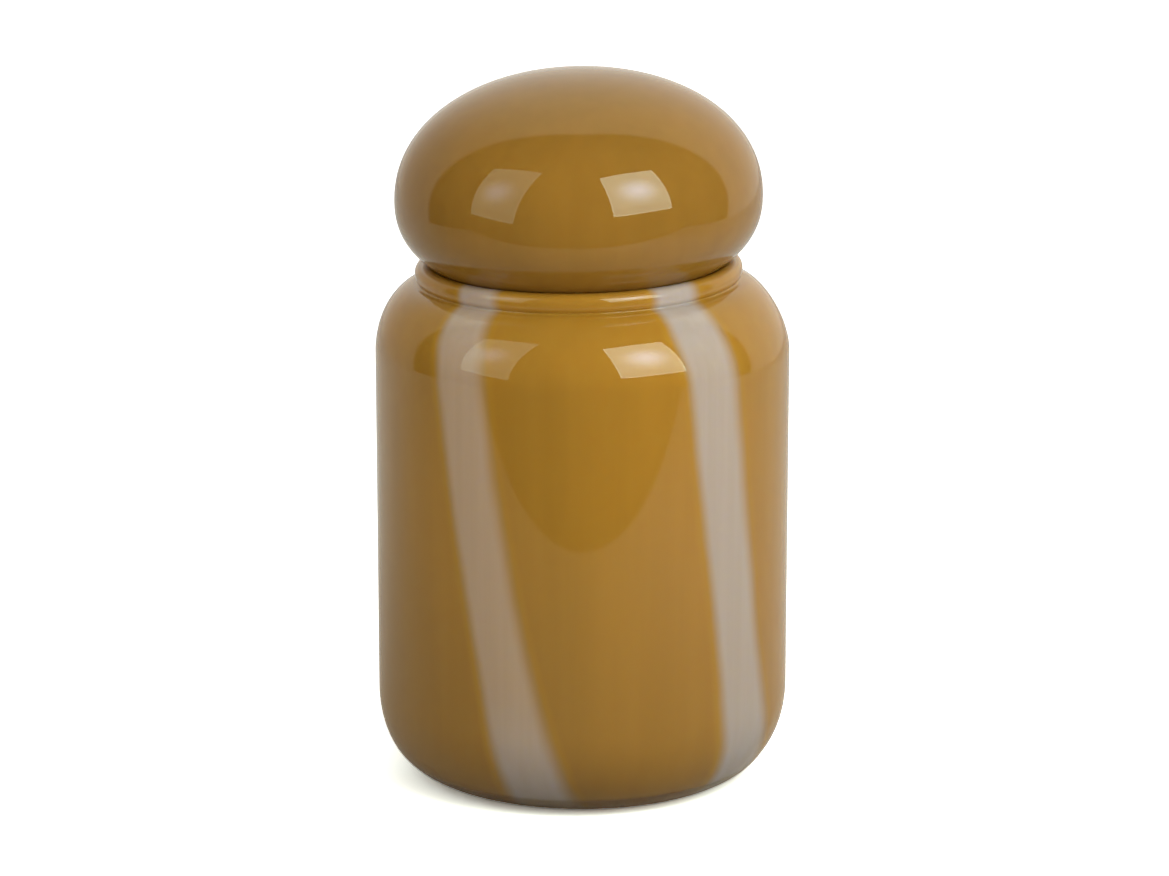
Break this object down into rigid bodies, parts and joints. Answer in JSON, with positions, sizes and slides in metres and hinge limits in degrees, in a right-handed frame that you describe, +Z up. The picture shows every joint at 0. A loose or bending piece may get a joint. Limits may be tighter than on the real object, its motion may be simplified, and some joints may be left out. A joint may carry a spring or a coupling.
{
  "type": "lidded storage jar",
  "caption": "Round cased-glass storage jar with a thick clear foot, a rolled rim, leaning white canes in an opaque amber wall, and a loose bun-shaped hollow lid.",
  "frame": {"origin": "middle of the underside, on the surface that the jar stands on", "axes": "+Z up along the jar's and the lid's common axis; -Y is the side in view, with +X to its right"},
  "size_m": [0.12, 0.12, 0.2074],
  "materials": {
    "clear_glass": "polished clear glass",
    "amber_glass": "glossy opaque amber glass",
    "white_cane_glass": "glossy opaque warm white glass",
    "opal_glass": "glossy opaque white glass",
    "lid_amber_glass": "glossy opaque amber glass",
    "lid_opal_glass": "glossy opaque white glass"
  },
  "bodies": {
    "jar": {"clear_base": "clear_glass", "amber_jar_skin": "amber_glass", "opal_jar_lining": "opal_glass", "white_stripe_1": "white_cane_glass", "white_stripe_2": "white_cane_glass", "white_stripe_3": "white_cane_glass", "white_stripe_4": "white_cane_glass", "white_stripe_5": "white_cane_glass"},
    "lid": {"amber_lid_skin": "lid_amber_glass", "opal_lid_lining": "lid_opal_glass"}
  },
  "joints": [
    {"name": "lid_lift", "type": "slide", "parent": "jar", "child": "lid", "axis": [0, 0, 1], "range_m": [0, 0.12]}
  ]
}
